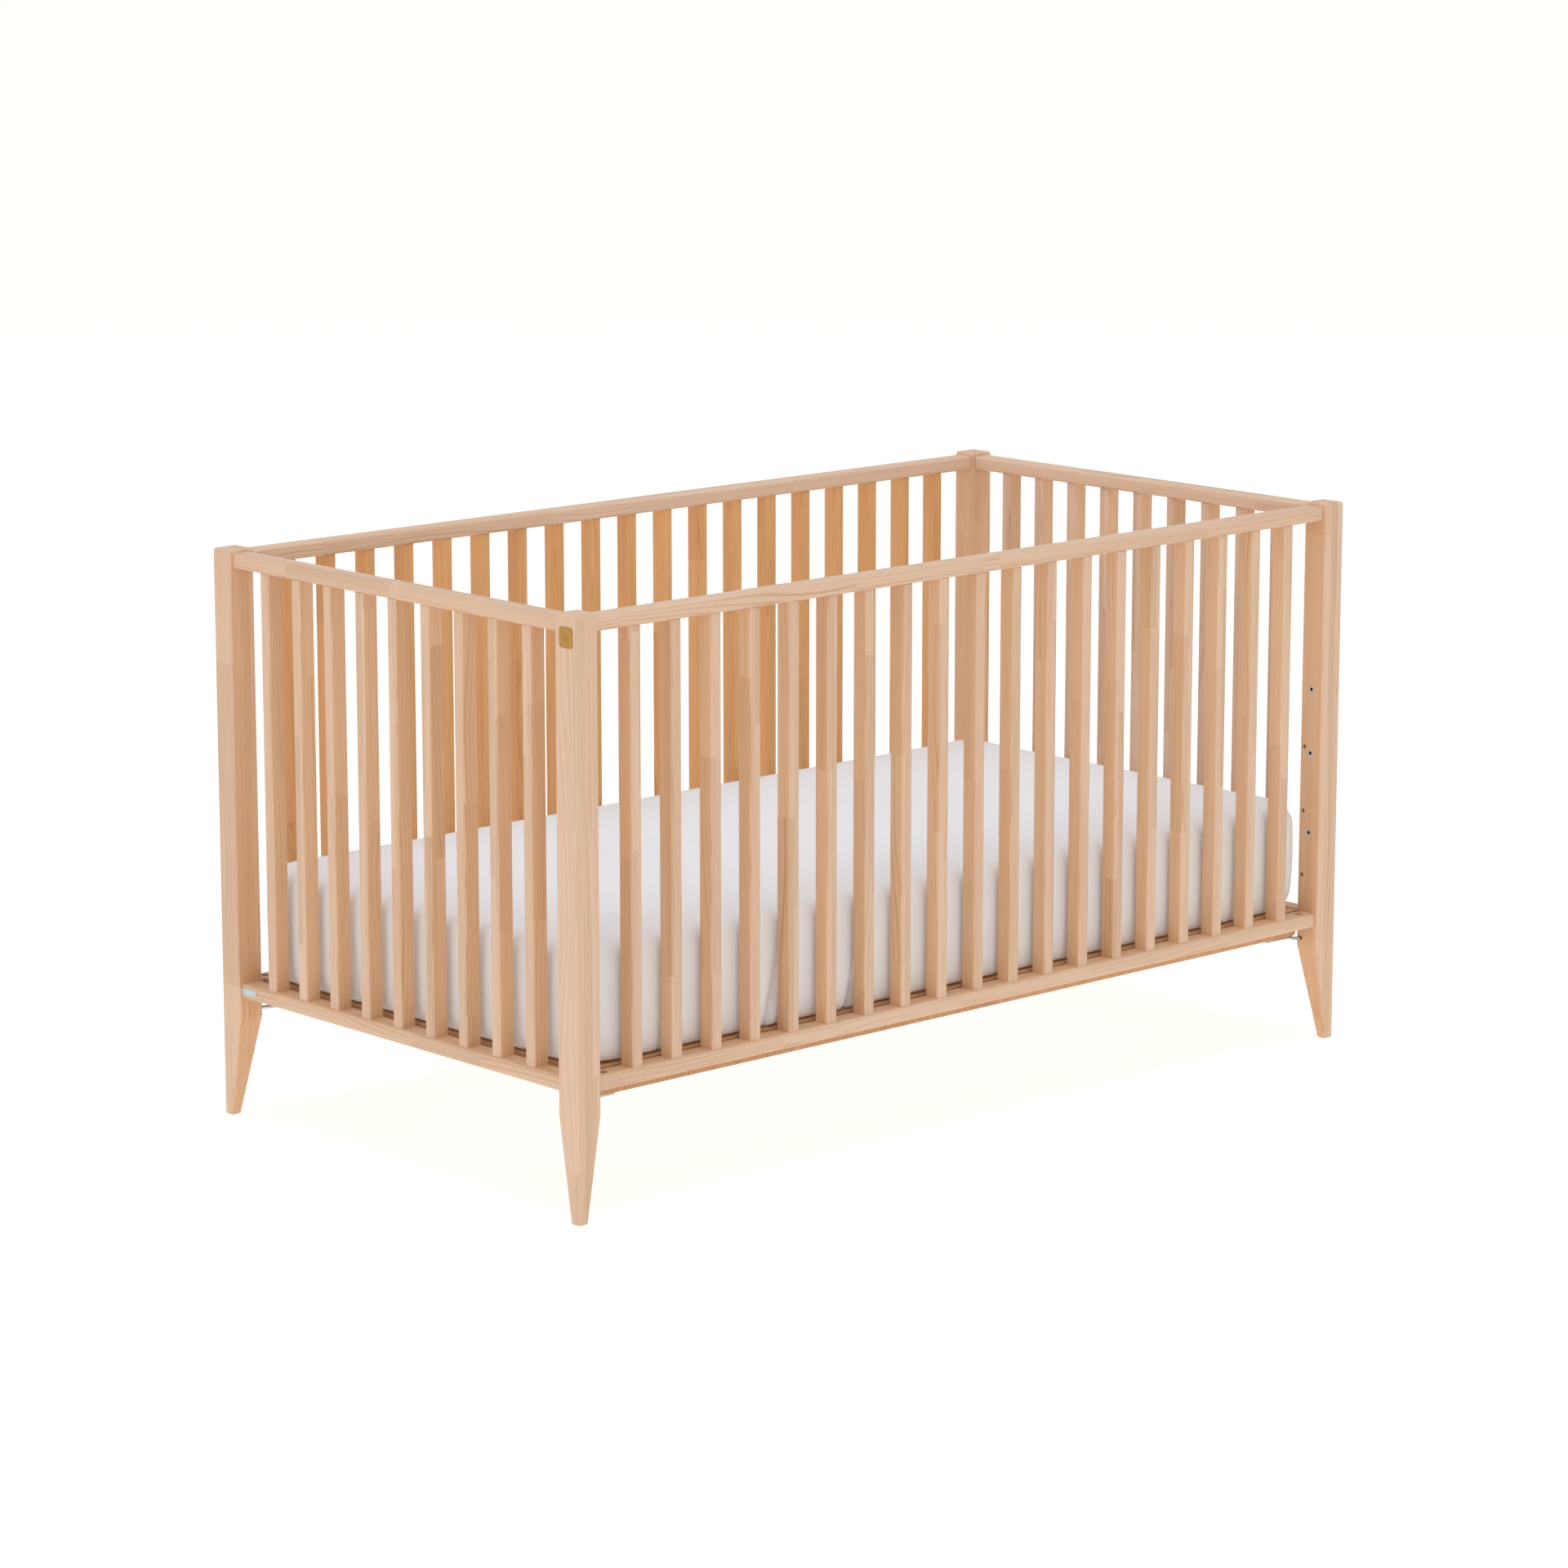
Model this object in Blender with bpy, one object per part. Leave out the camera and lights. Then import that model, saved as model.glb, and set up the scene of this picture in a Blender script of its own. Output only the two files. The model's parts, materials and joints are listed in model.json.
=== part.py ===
"""Baby crib: tapered corner posts, barred sides, a height-adjustable slatted base on wire hooks, mattress.

Metres. X runs along the crib, Y across it, Z up. The origin is on the floor under the crib's centre.
"""

import math

import bmesh
import bpy
from mathutils import Vector

for stale in list(bpy.data.objects):
    bpy.data.objects.remove(stale, do_unlink=True)

# ---- Driving dimensions -------------------------------------------------------------------------
LENGTH = 1.480
WIDTH = 0.772
HEIGHT = 0.810
GAP = 0.0003  # between pieces that touch

# Corner posts: square, tapered on their two inner faces at the foot.
POST = 0.040
POST_EDGE = 0.003
POST_TOP_R = 0.005
POST_TOP_STEPS = 4
LEAST_CORNER_R = 0.0004
FOOT = 0.0165
FOOT_CHAMFER = 0.0018
TAPER_TOP = 0.143

# Horizontal rails, centred on the posts.
RAIL_THICK = 0.031
RAIL_HIGH = 0.021
RAIL_EDGE = 0.004
TOP_RAIL_DROP = 0.005  # below the top of the posts
BOTTOM_RAIL_Z = 0.174

# Upright bars, evenly spaced.
LONG_BARS = 19
SHORT_BARS = 9
LONG_END_ROOM = 0.070  # from a post to the middle of the nearest bar
SHORT_END_ROOM = 0.066
BAR_WIDE = 0.0185
BAR_DEEP = 0.024
BAR_EDGE = 0.002
BAR_ROOT = 0.006  # how far a bar is glued into the bottom rail

# Holes for the base hooks, four levels in each post.
LEVELS = 4
LEVEL_PITCH = 0.097
HOOK_HOLE_R = 0.0035
HOOK_HOLE_DEEP = 0.026
HOOK_HOLE_OFFSET = 0.032  # from the post's outer long face

# Wire hooks.
HOOK_R = 0.0025
HOOK_SHANK = 0.022
HOOK_REACH = 0.060
HOOK_JOG = 0.018
HOOK_RISE = 0.002
HOOK_BEND = 0.007

# Slatted base.
BASE_SIDE_CLEAR = 0.0015  # to the rails' inner faces
BASE_END_CLEAR = 0.0055  # to the posts
BASE_Z = 0.1575
BASE_TOP = 0.196
SIDE_BOARD = 0.012
SIDE_CORNER_R = 0.007
END_BOARD = 0.012
END_BOARD_HIGH = 0.024
LEDGER_LIP = 0.010
LEDGER_LEDGE = 0.016
LEDGER_Z = 0.164
BOARD_EDGE = 0.001
SLATS = 11
SLAT_WIDE = 0.070
SLAT_THICK = 0.012
SLAT_EDGE = 0.0015

# Mattress.
MATTRESS_THICK = 0.167
MATTRESS_CLEAR = 0.0015  # to the rails' inner faces, each side
MATTRESS_END_CLEAR = 0.004
MATTRESS_CORNER_R = 0.036
MATTRESS_TOP_R = 0.028
MATTRESS_TOP_STEPS = 5
# Below: height over the slats, how far the side is drawn in, what the corner radius gains.
MATTRESS_UNDERSIDE = (
    (0.0, 0.010, 0.036),
    (0.007, 0.004, 0.026),
    (0.024, 0.0005, 0.010),
    (0.055, 0.0, 0.0),
)

# Threaded sleeves in the two front posts.
SLEEVE_R = 0.0055
SLEEVE_BORE_R = 0.0028
SLEEVE_DEEP = 0.012
SLEEVE_HEIGHTS = (0.316, 0.436, 0.532)

# Cam connectors between the long rails and the posts.
CAM_R = 0.006
CAM_HIGH = 0.010
CAM_SINK = 0.0042  # below the rail's surface
CAM_INSET = 0.020  # from the post's face
CAM_SLOT = (0.0016, 0.0085, 0.0012)
PIN_R = 0.003
PIN_IN_POST = 0.016

# Plates.
BADGE = 0.027
BADGE_THICK = 0.0007
BADGE_CORNER_R = 0.004
BADGE_Z = 0.780
LABEL = (0.032, 0.0095)
LABEL_THICK = 0.0005
LABEL_CORNER_R = 0.001

# ---- Derived positions --------------------------------------------------------------------------
HALF_X = LENGTH / 2
HALF_Y = WIDTH / 2
LONG_PITCH = (LENGTH - 2 * (POST + LONG_END_ROOM)) / (LONG_BARS - 1)
SHORT_PITCH = (WIDTH - 2 * (POST + SHORT_END_ROOM)) / (SHORT_BARS - 1)
RAIL_INSET = (POST - RAIL_THICK) / 2
RAIL_INNER_X = HALF_X - RAIL_INSET - RAIL_THICK
RAIL_INNER_Y = HALF_Y - RAIL_INSET - RAIL_THICK
TOP_RAIL_Z = HEIGHT - TOP_RAIL_DROP - RAIL_HIGH
BOTTOM_RAIL_TOP = BOTTOM_RAIL_Z + RAIL_HIGH
HOOK_LEG_Z = BASE_Z - GAP - HOOK_R
HOOK_SHANK_Z = HOOK_LEG_Z - HOOK_RISE
HOOK_HOLE_Z = HOOK_SHANK_Z + HOOK_HOLE_R - HOOK_R - GAP
BASE_HALF_X = HALF_X - POST - BASE_END_CLEAR
BASE_HALF_Y = RAIL_INNER_Y - BASE_SIDE_CLEAR
HOOK_LEG_Y = BASE_HALF_Y - SIDE_BOARD / 2 - HOOK_R
MATTRESS_Z = BASE_TOP + GAP

CUT_OVER = 0.002  # how far a cutter stands out of the face it enters
HOLE_SIDES = 16
ROUND_SIDES = 24


def material(name, colour, roughness, metallic=0.0):
    made = bpy.data.materials.new(name)
    made.use_nodes = True
    shader = made.node_tree.nodes["Principled BSDF"]
    shader.inputs["Base Color"].default_value = (*colour, 1.0)
    shader.inputs["Roughness"].default_value = roughness
    shader.inputs["Metallic"].default_value = metallic
    made.diffuse_color = (*colour, 1.0)
    return made


MATERIALS = {
    "post_wood": material("post_wood", (0.66, 0.43, 0.26), 0.55),
    "rail_wood": material("rail_wood", (0.68, 0.45, 0.28), 0.55),
    "bar_wood": material("bar_wood", (0.63, 0.39, 0.22), 0.55),
    "base_wood": material("base_wood", (0.55, 0.31, 0.16), 0.6),
    "slat_wood": material("slat_wood", (0.60, 0.38, 0.22), 0.6),
    "wire_steel": material("wire_steel", (0.62, 0.63, 0.65), 0.28, 1.0),
    "sleeve_steel": material("sleeve_steel", (0.68, 0.69, 0.70), 0.32, 1.0),
    "cam_zinc": material("cam_zinc", (0.35, 0.34, 0.33), 0.45, 1.0),
    "badge_brass": material("badge_brass", (0.72, 0.55, 0.28), 0.3, 1.0),
    "label_grey": material("label_grey", (0.60, 0.66, 0.70), 0.5),
    "mattress_cotton": material("mattress_cotton", (0.74, 0.72, 0.71), 0.85),
}


def solid(name, points, faces, slot, smooth_angle=math.radians(40)):
    """A closed mesh object, normals out, smooth except at edges sharper than smooth_angle."""
    mesh = bpy.data.meshes.new(name)
    mesh.from_pydata(points, [], faces)
    shape = bmesh.new()
    shape.from_mesh(mesh)
    bmesh.ops.recalc_face_normals(shape, faces=shape.faces)
    if shape.calc_volume(signed=True) < 0:
        bmesh.ops.reverse_faces(shape, faces=shape.faces)
    shape.to_mesh(mesh)
    shape.free()
    for face in mesh.polygons:
        face.use_smooth = True
    mesh.set_sharp_from_angle(angle=smooth_angle)
    if slot:
        mesh.materials.append(MATERIALS[slot])
    made = bpy.data.objects.new(name, mesh)
    bpy.context.scene.collection.objects.link(made)
    return made


def loft(rings):
    """Points and faces of a closed body through rings of equally many 3-D points."""
    count = len(rings[0])
    points = [point for ring in rings for point in ring]
    faces = []
    for level in range(len(rings) - 1):
        low = level * count
        high = low + count
        for i in range(count):
            j = (i + 1) % count
            faces.append((low + i, low + j, high + j, high + i))
    faces.append(tuple(reversed(range(count))))
    faces.append(tuple(range(len(points) - count, len(points))))
    return points, faces


def rounded(low_a, high_a, low_b, high_b, radius, steps=3):
    """Corner-rounded rectangle as (a, b) pairs, anticlockwise."""
    corners = (
        (high_a - radius, high_b - radius, 0),
        (low_a + radius, high_b - radius, 90),
        (low_a + radius, low_b + radius, 180),
        (high_a - radius, low_b + radius, 270),
    )
    pairs = []
    for a, b, start in corners:
        for i in range(steps + 1):
            angle = math.radians(start + 90 * i / steps)
            pairs.append((a + radius * math.cos(angle), b + radius * math.sin(angle)))
    return pairs


def along(axis, pairs, low, high):
    """Rings for a prism: pairs are the other two axes in X, Y, Z order."""
    rings = []
    for at in (low, high):
        if axis == "x":
            rings.append([(at, a, b) for a, b in pairs])
        elif axis == "y":
            rings.append([(a, at, b) for a, b in pairs])
        else:
            rings.append([(a, b, at) for a, b in pairs])
    return rings


def circle(a, b, radius, sides):
    turn = 2 * math.pi / sides
    return [
        (a + radius * math.cos(turn * (i + 0.5)), b + radius * math.sin(turn * (i + 0.5)))
        for i in range(sides)
    ]


def joined(pieces):
    """Points and faces of several closed bodies as one mesh."""
    points = []
    faces = []
    for piece_points, piece_faces in pieces:
        start = len(points)
        points.extend(piece_points)
        faces.extend(tuple(start + i for i in face) for face in piece_faces)
    return points, faces


def boolean(target, name, pieces, operation):
    """Cuts the pieces from the target, or joins them to it. The helper stays as a hidden object."""
    helper = solid(name, *joined(pieces), None)
    helper.hide_render = True
    helper.display_type = "WIRE"
    helper.hide_viewport = True
    step = target.modifiers.new(name, "BOOLEAN")
    step.operation = operation
    step.object = helper
    step.solver = "EXACT"


def span(first, second):
    return (first, second) if first < second else (second, first)


def drill_x(face_x, inward, y, z, radius, deep, sides=HOLE_SIDES):
    """A cutter for a blind hole that enters a face at face_x and runs along inward (+1 or -1)."""
    low, high = span(face_x - inward * CUT_OVER, face_x + inward * deep)
    return loft(along("x", circle(y, z, radius, sides), low, high))


# ---- Corner posts -------------------------------------------------------------------------------
CORNERS = {
    "front_left": (-1, -1),
    "front_right": (1, -1),
    "back_left": (-1, 1),
    "back_right": (1, 1),
}


def post_ring(side_x, side_y, z, size, radius, inset=0.0):
    """Ring of a post whose outer corner stays put while its size changes."""
    outer_x = side_x * (HALF_X - inset)
    outer_y = side_y * (HALF_Y - inset)
    inner_x = side_x * (HALF_X - size + inset)
    inner_y = side_y * (HALF_Y - size + inset)
    pairs = rounded(*span(outer_x, inner_x), *span(outer_y, inner_y), radius)
    return [(x, y, z) for x, y in pairs]


def post_rings(side_x, side_y):
    rings = [
        post_ring(side_x, side_y, 0.0, FOOT, POST_EDGE - FOOT_CHAMFER, FOOT_CHAMFER),
        post_ring(side_x, side_y, FOOT_CHAMFER, FOOT, POST_EDGE),
        post_ring(side_x, side_y, TAPER_TOP, POST, POST_EDGE),
    ]
    for i in range(POST_TOP_STEPS + 1):
        angle = math.radians(90 * i / POST_TOP_STEPS)
        inset = POST_TOP_R * (1 - math.cos(angle))
        z = HEIGHT - POST_TOP_R * (1 - math.sin(angle))
        radius = max(POST_EDGE - inset, LEAST_CORNER_R)
        rings.append(post_ring(side_x, side_y, z, POST, radius, inset))
    return rings


def connector_heights():
    return (BOTTOM_RAIL_Z + RAIL_HIGH / 2, TOP_RAIL_Z + RAIL_HIGH / 2)


def badge_box(side_x, side_y, grow, thick):
    """The small square plate, or its pocket when grown, on the post's end face by the outer corner."""
    centre_y = side_y * (HALF_Y - POST_EDGE - BADGE / 2)
    half = BADGE / 2 + grow
    pairs = rounded(
        centre_y - half, centre_y + half, BADGE_Z - half, BADGE_Z + half, BADGE_CORNER_R + grow
    )
    outer = side_x * (HALF_X + (CUT_OVER if grow else 0.0))
    inner = side_x * (HALF_X - thick)
    return loft(along("x", pairs, *span(outer, inner)))


for corner, (side_x, side_y) in CORNERS.items():
    post = solid(f"post_{corner}", *loft(post_rings(side_x, side_y)), "post_wood")
    inner_x = side_x * (HALF_X - POST)
    hole_y = side_y * (HALF_Y - HOOK_HOLE_OFFSET)
    centre_y = side_y * (HALF_Y - POST / 2)
    holes = []
    for level in range(LEVELS):
        z = HOOK_HOLE_Z + level * LEVEL_PITCH
        holes.append(drill_x(inner_x, side_x, hole_y, z, HOOK_HOLE_R, HOOK_HOLE_DEEP))
    if side_y < 0:
        for z in SLEEVE_HEIGHTS:
            holes.append(
                drill_x(inner_x, side_x, centre_y, z, SLEEVE_R + GAP, SLEEVE_DEEP + GAP)
            )
    for z in connector_heights():
        holes.append(drill_x(inner_x, side_x, centre_y, z, PIN_R + GAP, PIN_IN_POST + GAP))
    boolean(post, f"cut_post_{corner}", holes, "DIFFERENCE")
    if corner == "front_left":
        pocket = badge_box(side_x, side_y, GAP, BADGE_THICK + GAP)
        boolean(post, "cut_badge_pocket", [pocket], "DIFFERENCE")

solid("badge_plate", *badge_box(-1, -1, 0.0, BADGE_THICK), "badge_brass")

# ---- Sleeves in the front posts -----------------------------------------------------------------


def tube_x(low, high, y, z, outer_r, inner_r, sides=ROUND_SIDES):
    """Points and faces of a pipe along X."""
    outside = circle(y, z, outer_r, sides)
    inside = circle(y, z, inner_r, sides)
    loops = [
        [(low, a, b) for a, b in outside],
        [(high, a, b) for a, b in outside],
        [(high, a, b) for a, b in inside],
        [(low, a, b) for a, b in inside],
    ]
    points = [point for loop in loops for point in loop]
    faces = []
    for k in range(4):
        for i in range(sides):
            j = (i + 1) % sides
            here = k * sides
            there = (k + 1) % 4 * sides
            faces.append((here + i, here + j, there + j, there + i))
    return points, faces


for side, side_x in (("left", -1), ("right", 1)):
    face_x = side_x * (HALF_X - POST)
    low, high = span(face_x, face_x + side_x * SLEEVE_DEEP)
    for number, z in enumerate(SLEEVE_HEIGHTS, 1):
        centre_y = -(HALF_Y - POST / 2)
        pipe = tube_x(low, high, centre_y, z, SLEEVE_R, SLEEVE_BORE_R)
        solid(f"sleeve_front_{side}_{number}", *pipe, "sleeve_steel")

# ---- Rails and bars -----------------------------------------------------------------------------


def long_rail(side_y, z):
    centre = side_y * (HALF_Y - POST / 2)
    pairs = rounded(
        centre - RAIL_THICK / 2, centre + RAIL_THICK / 2, z, z + RAIL_HIGH, RAIL_EDGE
    )
    end = HALF_X - POST - GAP
    return loft(along("x", pairs, -end, end))


def short_rail(side_x, z):
    centre = side_x * (HALF_X - POST / 2)
    pairs = rounded(
        centre - RAIL_THICK / 2, centre + RAIL_THICK / 2, z, z + RAIL_HIGH, RAIL_EDGE
    )
    end = HALF_Y - POST - GAP
    return loft(along("y", pairs, -end, end))


def bar(x, y, wide_x, wide_y):
    pairs = rounded(
        x - wide_x / 2, x + wide_x / 2, y - wide_y / 2, y + wide_y / 2, BAR_EDGE, steps=2
    )
    return loft(along("z", pairs, BOTTOM_RAIL_TOP - BAR_ROOT, TOP_RAIL_Z - GAP))


def connector_cuts(side_y, z, mouth):
    """Wells for the cams in one long rail. mouth is +1 when the cams enter from above."""
    centre_y = side_y * (HALF_Y - POST / 2)
    face_z = z + RAIL_HIGH if mouth > 0 else z
    floor_z = face_z - mouth * (CAM_SINK + CAM_HIGH + GAP)
    cuts = []
    for side_x in (-1, 1):
        x = side_x * (HALF_X - POST - CAM_INSET)
        well = circle(x, centre_y, CAM_R + GAP, ROUND_SIDES)
        cuts.append(loft(along("z", well, *span(face_z + mouth * CUT_OVER, floor_z))))
    return cuts


def pin_cuts(side_y, z):
    centre_y = side_y * (HALF_Y - POST / 2)
    cuts = []
    for side_x in (-1, 1):
        end_x = side_x * (HALF_X - POST)
        cuts.append(drill_x(end_x, -side_x, centre_y, z, PIN_R + GAP, CAM_INSET))
    return cuts


def fit_connectors(rail, label, side_y, z, mouth):
    boolean(rail, f"cut_cams_{label}", connector_cuts(side_y, z, mouth), "DIFFERENCE")
    boolean(rail, f"cut_pins_{label}", pin_cuts(side_y, z + RAIL_HIGH / 2), "DIFFERENCE")


for side, side_y in (("front", -1), ("back", 1)):
    centre = side_y * (HALF_Y - POST / 2)
    rail = solid(f"top_rail_{side}", *long_rail(side_y, TOP_RAIL_Z), "rail_wood")
    fit_connectors(rail, f"top_{side}", side_y, TOP_RAIL_Z, -1)
    comb = solid(f"barred_side_{side}", *long_rail(side_y, BOTTOM_RAIL_Z), "bar_wood")
    bars = [
        bar((i - (LONG_BARS - 1) / 2) * LONG_PITCH, centre, BAR_WIDE, BAR_DEEP)
        for i in range(LONG_BARS)
    ]
    boolean(comb, f"bars_{side}", bars, "UNION")
    fit_connectors(comb, f"bottom_{side}", side_y, BOTTOM_RAIL_Z, 1)

for side, side_x in (("left", -1), ("right", 1)):
    centre = side_x * (HALF_X - POST / 2)
    solid(f"top_rail_{side}", *short_rail(side_x, TOP_RAIL_Z), "rail_wood")
    comb = solid(f"barred_end_{side}", *short_rail(side_x, BOTTOM_RAIL_Z), "bar_wood")
    bars = [
        bar(centre, (i - (SHORT_BARS - 1) / 2) * SHORT_PITCH, BAR_DEEP, BAR_WIDE)
        for i in range(SHORT_BARS)
    ]
    boolean(comb, f"bars_{side}", bars, "UNION")

# ---- Cams and pins ------------------------------------------------------------------------------
for side, side_y in (("front", -1), ("back", 1)):
    centre_y = side_y * (HALF_Y - POST / 2)
    for level, rail_z, mouth in (("bottom", BOTTOM_RAIL_Z, 1), ("top", TOP_RAIL_Z, -1)):
        face_z = rail_z + RAIL_HIGH if mouth > 0 else rail_z
        near_z = face_z - mouth * CAM_SINK
        for end, side_x in (("left", -1), ("right", 1)):
            x = side_x * (HALF_X - POST - CAM_INSET)
            label = f"{level}_{side}_{end}"
            disc = circle(x, centre_y, CAM_R, ROUND_SIDES)
            cam = solid(
                f"cam_{label}",
                *loft(along("z", disc, *span(near_z, near_z - mouth * CAM_HIGH))),
                "cam_zinc",
            )
            slot = rounded(
                x - CAM_SLOT[1] / 2,
                x + CAM_SLOT[1] / 2,
                centre_y - CAM_SLOT[0] / 2,
                centre_y + CAM_SLOT[0] / 2,
                CAM_SLOT[0] / 4,
                steps=1,
            )
            slot_z = span(near_z + mouth * CUT_OVER, near_z - mouth * CAM_SLOT[2])
            boolean(cam, f"cut_slot_{label}", [loft(along("z", slot, *slot_z))], "DIFFERENCE")
            pin_z = rail_z + RAIL_HIGH / 2
            pin_ends = span(
                side_x * (HALF_X - POST + PIN_IN_POST),
                side_x * (HALF_X - POST - CAM_INSET + CAM_R + GAP),
            )
            pin = loft(along("x", circle(centre_y, pin_z, PIN_R, HOLE_SIDES), *pin_ends))
            solid(f"pin_{label}", *pin, "cam_zinc")

# ---- Label plate on the left end's bottom rail --------------------------------------------------
label_y = HALF_Y - POST - LABEL[0] / 2 - 2 * GAP
label_z = BOTTOM_RAIL_Z + RAIL_HIGH / 2
label_x = -(HALF_X - RAIL_INSET) - GAP
label_pairs = rounded(
    label_y - LABEL[0] / 2,
    label_y + LABEL[0] / 2,
    label_z - LABEL[1] / 2,
    label_z + LABEL[1] / 2,
    LABEL_CORNER_R,
)
solid("label_plate", *loft(along("x", label_pairs, label_x - LABEL_THICK, label_x)), "label_grey")

# ---- Wire hooks ---------------------------------------------------------------------------------


def swept(path, radius, sides=12):
    """Points and faces of a round wire along a path, with frames carried without twist."""
    before = [path[0]] + path[:-1]
    after = path[1:] + [path[-1]]
    across = (after[0] - before[0]).orthogonal()
    rings = []
    for here, last, following in zip(path, before, after):
        direction = (following - last).normalized()
        across = (across - direction * across.dot(direction)).normalized()
        other = direction.cross(across)
        ring = []
        for i in range(sides):
            angle = 2 * math.pi * i / sides
            offset = across * math.cos(angle) + other * math.sin(angle)
            ring.append(tuple(here + radius * offset))
        rings.append(ring)
    return loft(rings)


def bent(corners, radius, steps=5):
    """The corner points with each inner corner replaced by an arc-like curve."""
    path = [corners[0]]
    for before, here, after in zip(corners, corners[1:], corners[2:]):
        start = here + (before - here).normalized() * radius
        end = here + (after - here).normalized() * radius
        for i in range(steps + 1):
            t = i / steps
            path.append(start * (1 - t) ** 2 + here * (2 * t * (1 - t)) + end * t**2)
    path.append(corners[-1])
    return path


for corner, (side_x, side_y) in CORNERS.items():
    face_x = HALF_X - POST
    hook_y = HALF_Y - HOOK_HOLE_OFFSET
    route = [
        (face_x + HOOK_SHANK, hook_y, HOOK_SHANK_Z),
        (face_x - HOOK_BEND / 2, hook_y, HOOK_SHANK_Z),
        (face_x - HOOK_JOG, HOOK_LEG_Y, HOOK_LEG_Z),
        (face_x - HOOK_REACH, HOOK_LEG_Y, HOOK_LEG_Z),
    ]
    turned = [Vector((side_x * x, side_y * y, z)) for x, y, z in route]
    solid(f"hook_{corner}", *swept(bent(turned, HOOK_BEND), HOOK_R), "wire_steel")

# ---- Slatted base -------------------------------------------------------------------------------
SIDE_CORNER_STEPS = 4
for side, side_y in (("front", -1), ("back", 1)):
    outline = [(-BASE_HALF_X, BASE_TOP), (BASE_HALF_X, BASE_TOP)]
    corner_x = BASE_HALF_X - SIDE_CORNER_R
    corner_z = BASE_Z + SIDE_CORNER_R
    for x, start in ((corner_x, 0), (-corner_x, 90)):
        for i in range(SIDE_CORNER_STEPS + 1):
            angle = math.radians(-start - 90 * i / SIDE_CORNER_STEPS)
            at_x = x + SIDE_CORNER_R * math.cos(angle)
            at_z = corner_z + SIDE_CORNER_R * math.sin(angle)
            outline.append((at_x, at_z))
    faces_y = span(side_y * BASE_HALF_Y, side_y * (BASE_HALF_Y - SIDE_BOARD))
    solid(f"base_side_{side}", *loft(along("y", outline, *faces_y)), "base_wood")

END_INNER_X = BASE_HALF_X - END_BOARD
LEDGER_Y = BASE_HALF_Y - SIDE_BOARD - GAP
LEDGE_TOP = BASE_TOP - SLAT_THICK - GAP
for side, side_x in (("left", -1), ("right", 1)):
    faces_x = span(side_x * BASE_HALF_X, side_x * END_INNER_X)
    section = rounded(*faces_x, BASE_TOP - END_BOARD_HIGH, BASE_TOP, BOARD_EDGE, steps=1)
    solid(f"base_end_{side}", *loft(along("y", section, -LEDGER_Y, LEDGER_Y)), "base_wood")

for side, side_y in (("front", -1), ("back", 1)):
    outer = LEDGER_Y
    lip = outer - LEDGER_LIP
    inner = lip - LEDGER_LEDGE
    section = [
        (side_y * outer, LEDGER_Z),
        (side_y * outer, BASE_TOP),
        (side_y * lip, BASE_TOP),
        (side_y * lip, LEDGE_TOP),
        (side_y * inner, LEDGE_TOP),
        (side_y * inner, LEDGER_Z),
    ]
    end = END_INNER_X - GAP
    solid(f"base_ledger_{side}", *loft(along("x", section, -end, end)), "base_wood")

slat_room = 2 * (END_INNER_X - GAP) - SLATS * SLAT_WIDE
slat_step = SLAT_WIDE + slat_room / (SLATS - 1)
slat_half = LEDGER_Y - LEDGER_LIP - GAP
for number in range(SLATS):
    x = (number - (SLATS - 1) / 2) * slat_step
    edges_x = (x - SLAT_WIDE / 2, x + SLAT_WIDE / 2)
    section = rounded(*edges_x, BASE_TOP - SLAT_THICK, BASE_TOP, SLAT_EDGE, steps=1)
    slat = loft(along("y", section, -slat_half, slat_half))
    solid(f"base_slat_{number + 1:02d}", *slat, "slat_wood")

# ---- Mattress -----------------------------------------------------------------------------------


def mattress_ring(z, inset, radius):
    half_x = RAIL_INNER_X - MATTRESS_END_CLEAR - inset
    half_y = RAIL_INNER_Y - MATTRESS_CLEAR - inset
    return [(x, y, z) for x, y in rounded(-half_x, half_x, -half_y, half_y, radius, steps=6)]


MATTRESS_TOP = MATTRESS_Z + MATTRESS_THICK
mattress_rings = [
    mattress_ring(MATTRESS_Z + up, inset, MATTRESS_CORNER_R + more)
    for up, inset, more in MATTRESS_UNDERSIDE
]
for i in range(MATTRESS_TOP_STEPS + 1):
    angle = math.radians(90 * i / MATTRESS_TOP_STEPS)
    drop = MATTRESS_TOP_R * (1 - math.sin(angle))
    inset = MATTRESS_TOP_R * (1 - math.cos(angle))
    mattress_rings.append(
        mattress_ring(MATTRESS_TOP - drop, inset, MATTRESS_CORNER_R + inset / 2)
    )
solid("mattress", *loft(mattress_rings), "mattress_cotton", smooth_angle=math.radians(60))
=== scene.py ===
"""Baby crib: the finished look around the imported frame, in metres.

X runs along the crib, Y across it, Z up, and its front is at -Y. The CAD nodes keep their shapes
and get wood, metal and label materials. The mattress is made here as a padded body in a fitted
cotton cover.
"""

import json
import math
import random

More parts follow.
